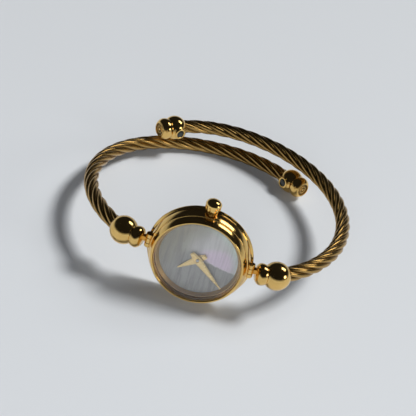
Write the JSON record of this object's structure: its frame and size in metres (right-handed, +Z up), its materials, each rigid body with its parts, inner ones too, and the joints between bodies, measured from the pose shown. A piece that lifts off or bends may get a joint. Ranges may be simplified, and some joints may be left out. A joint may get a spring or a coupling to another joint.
{
  "type": "bangle watch",
  "caption": "Gold-tone bangle watch: a small round quartz watch head hinged between two twisted-cable arms with ball ends that overlap behind the wrist.",
  "frame": {"origin": "middle of the bounding box on the table that the watch lies on", "axes": "+X from the 12 o'clock side to the 6 o'clock side, +Y from the dial to the back of the wrist, +Z up, near the direction of the crown at 3 o'clock"},
  "size_m": [0.0652, 0.0638, 0.0271],
  "materials": {
    "gold": "polished",
    "cable_gold": "satin",
    "crystal": "clear",
    "pearl": "mother of pearl",
    "stone": "polished",
    "steel": "fine brushed",
    "nickel": "plated",
    "wheel_brass": "satin",
    "copper": "enamelled wire",
    "white_plastic": "moulded",
    "board": "lacquered",
    "black_plastic": "moulded",
    "rubber": "matt"
  },
  "bodies": {
    "head": {"case_body": "gold", "bezel": "gold", "crystal": "crystal", "crystal_gasket": "rubber", "dial_ring": "gold", "dial": "pearl", "case_back": "steel", "case_back_gasket": "rubber", "crown_tube": "nickel", "stator": "nickel", "coil": "copper", "movement_holder": "white_plastic", "main_plate": "nickel", "train_bridge": "nickel", "movement_screws": "steel", "battery": "steel", "battery_clamp": "nickel", "circuit_board": "board", "quartz_can": "nickel", "drive_chip": "black_plastic", "left_hinge_pin": "gold", "right_hinge_pin": "gold"},
    "left_arm": {"left_arm": "cable_gold", "left_stone": "stone"},
    "right_arm": {"right_arm": "cable_gold", "right_stone": "stone"},
    "minute_work": {"minute_hand": "gold", "cannon_pinion": "steel", "centre_wheel": "wheel_brass"},
    "hour_work": {"hour_hand": "gold", "hour_wheel": "wheel_brass"},
    "minute_wheel": {"minute_wheel": "wheel_brass"},
    "setting_wheel": {"setting_wheel": "wheel_brass"},
    "third_wheel": {"third_wheel": "wheel_brass"},
    "intermediate_wheel": {"intermediate_wheel": "wheel_brass"},
    "rotor": {"rotor": "steel"},
    "clutch": {"sliding_pinion": "steel"},
    "crown": {"crown": "gold", "crown_gasket": "rubber", "setting_stem": "steel"},
    "setting_lever": {"setting_lever": "steel"}
  },
  "joints": [
    {"name": "left_arm_hinge", "type": "hinge", "parent": "head", "child": "left_arm", "pos_m": [-0.0117, -0.02666, 0.0119], "axis": [-0.0103, 0.1289, 0.9916], "range_deg": [0, 35]},
    {"name": "right_arm_hinge", "type": "hinge", "parent": "head", "child": "right_arm", "pos_m": [0.0117, -0.02663, 0.01214], "axis": [0.0103, -0.1289, -0.9916], "range_deg": [0, 35]},
    {"name": "minute_hand_turn", "type": "hinge", "parent": "head", "child": "minute_work", "pos_m": [0, -0.02804, 0.0122], "axis": [0, 0.9917, -0.1289], "continuous": true},
    {"name": "hour_hand_turn", "type": "hinge", "parent": "head", "child": "hour_work", "pos_m": [0, -0.02804, 0.0122], "axis": [0, 0.9917, -0.1289], "continuous": true},
    {"name": "minute_wheel_turn", "type": "hinge", "parent": "head", "child": "minute_wheel", "pos_m": [-0.00132, -0.02792, 0.01309], "axis": [0, 0.9917, -0.1289], "continuous": true},
    {"name": "setting_wheel_turn", "type": "hinge", "parent": "head", "child": "setting_wheel", "pos_m": [-0.00134, -0.02767, 0.01503], "axis": [0, 0.9917, -0.1289], "continuous": true},
    {"name": "third_wheel_turn", "type": "hinge", "parent": "head", "child": "third_wheel", "pos_m": [0.00115, -0.0282, 0.01096], "axis": [0, 0.9917, -0.1289], "continuous": true},
    {"name": "intermediate_wheel_turn", "type": "hinge", "parent": "head", "child": "intermediate_wheel", "pos_m": [0.00252, -0.02826, 0.01048], "axis": [0, 0.9917, -0.1289], "continuous": true},
    {"name": "rotor_turn", "type": "hinge", "parent": "head", "child": "rotor", "pos_m": [0.00306, -0.0284, 0.00936], "axis": [0, 0.9917, -0.1289], "continuous": true},
    {"name": "crown_turn", "type": "hinge", "parent": "head", "child": "clutch", "pos_m": [-0.00003, -0.02705, 0.01509], "axis": [-0.0103, 0.1289, 0.9916], "continuous": true},
    {"name": "crown_pull", "type": "slide", "parent": "clutch", "child": "crown", "axis": [-0.0103, 0.1289, 0.9916], "range_m": [0, 0.0009]},
    {"name": "setting_lever_turn", "type": "hinge", "parent": "head", "child": "setting_lever", "pos_m": [0.0019, -0.02736, 0.01737], "axis": [0, 0.9917, -0.1289], "range_deg": [0, 30.88]}
  ],
  "couplings": [
    {"joint": "hour_hand_turn", "follows": "minute_hand_turn", "ratio": 0.083333},
    {"joint": "minute_wheel_turn", "follows": "minute_hand_turn", "ratio": -0.33333},
    {"joint": "setting_wheel_turn", "follows": "minute_hand_turn", "ratio": 0.53333},
    {"joint": "third_wheel_turn", "follows": "minute_hand_turn", "ratio": -4},
    {"joint": "intermediate_wheel_turn", "follows": "minute_hand_turn", "ratio": 16},
    {"joint": "rotor_turn", "follows": "minute_hand_turn", "ratio": -64},
    {"joint": "setting_lever_turn", "follows": "crown_pull", "rad_per_m": 598.59}
  ]
}
